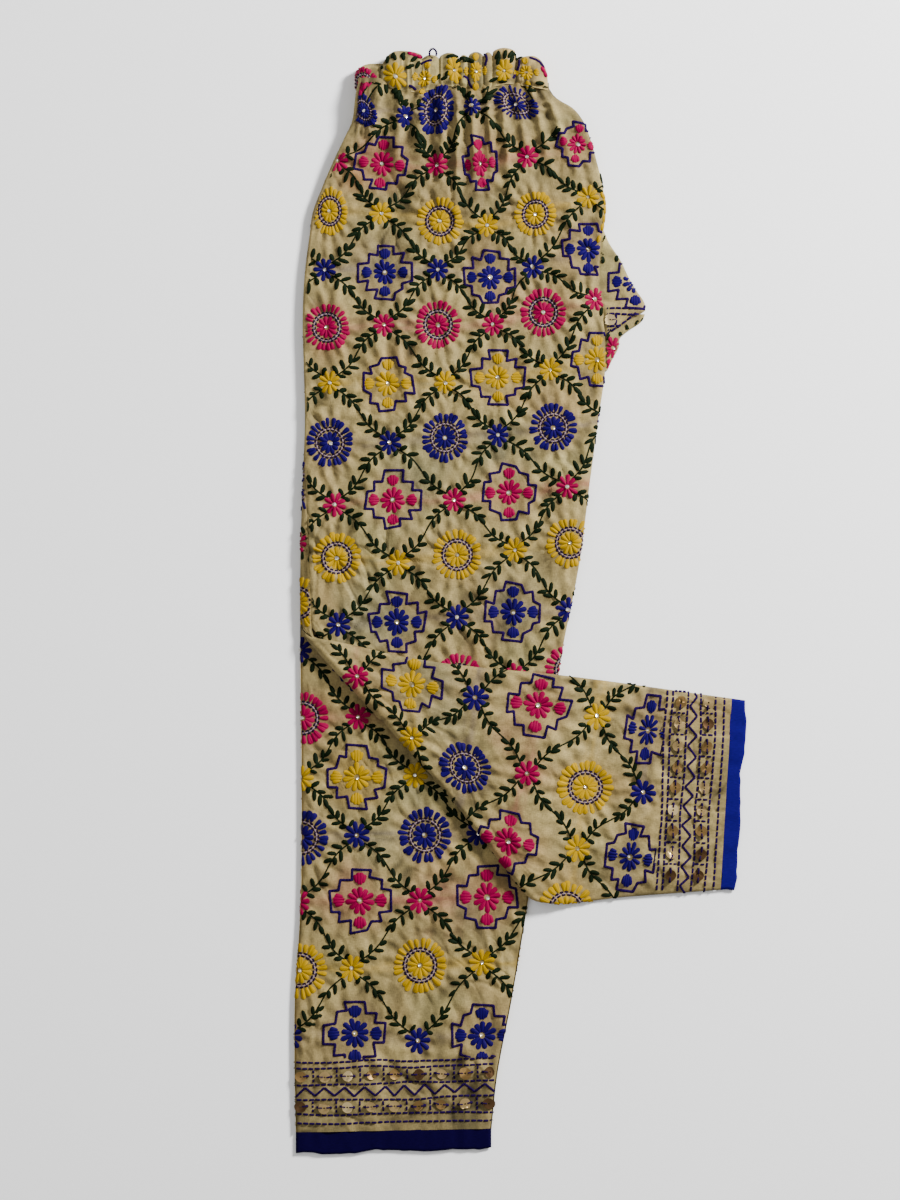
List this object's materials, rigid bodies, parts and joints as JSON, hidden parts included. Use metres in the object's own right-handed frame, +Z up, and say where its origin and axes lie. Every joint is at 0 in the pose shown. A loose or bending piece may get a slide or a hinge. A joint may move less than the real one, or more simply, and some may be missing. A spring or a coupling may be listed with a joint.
{
  "type": "folded straight-leg trousers",
  "caption": "Straight-leg trousers with a gathered elastic waist, folded in half and laid flat, one leg turned back over a diagonal crease.",
  "frame": {"origin": "centre of the bounding box on the surface that the trousers lie on", "axes": "+Y towards the waist along the legs, +Z up out of the flat cloth, +X towards the turned-back hem"},
  "size_m": [0.3939, 0.9609, 0.0185],
  "materials": {
    "tan_cloth": "soft sheen silk-cotton with embroidery",
    "blue_band": "plain satin binding"
  },
  "bodies": {
    "root": {"left_front": "tan_cloth", "left_back": "tan_cloth", "right_back": "tan_cloth", "hidden_layers": "tan_cloth", "waistband_front": "tan_cloth", "waistband_layers": "tan_cloth", "left_hem_band": "blue_band", "right_hem_band": "blue_band", "crotch_gusset_upper": "tan_cloth", "crotch_gusset_lower": "tan_cloth"}
  },
  "joints": []
}
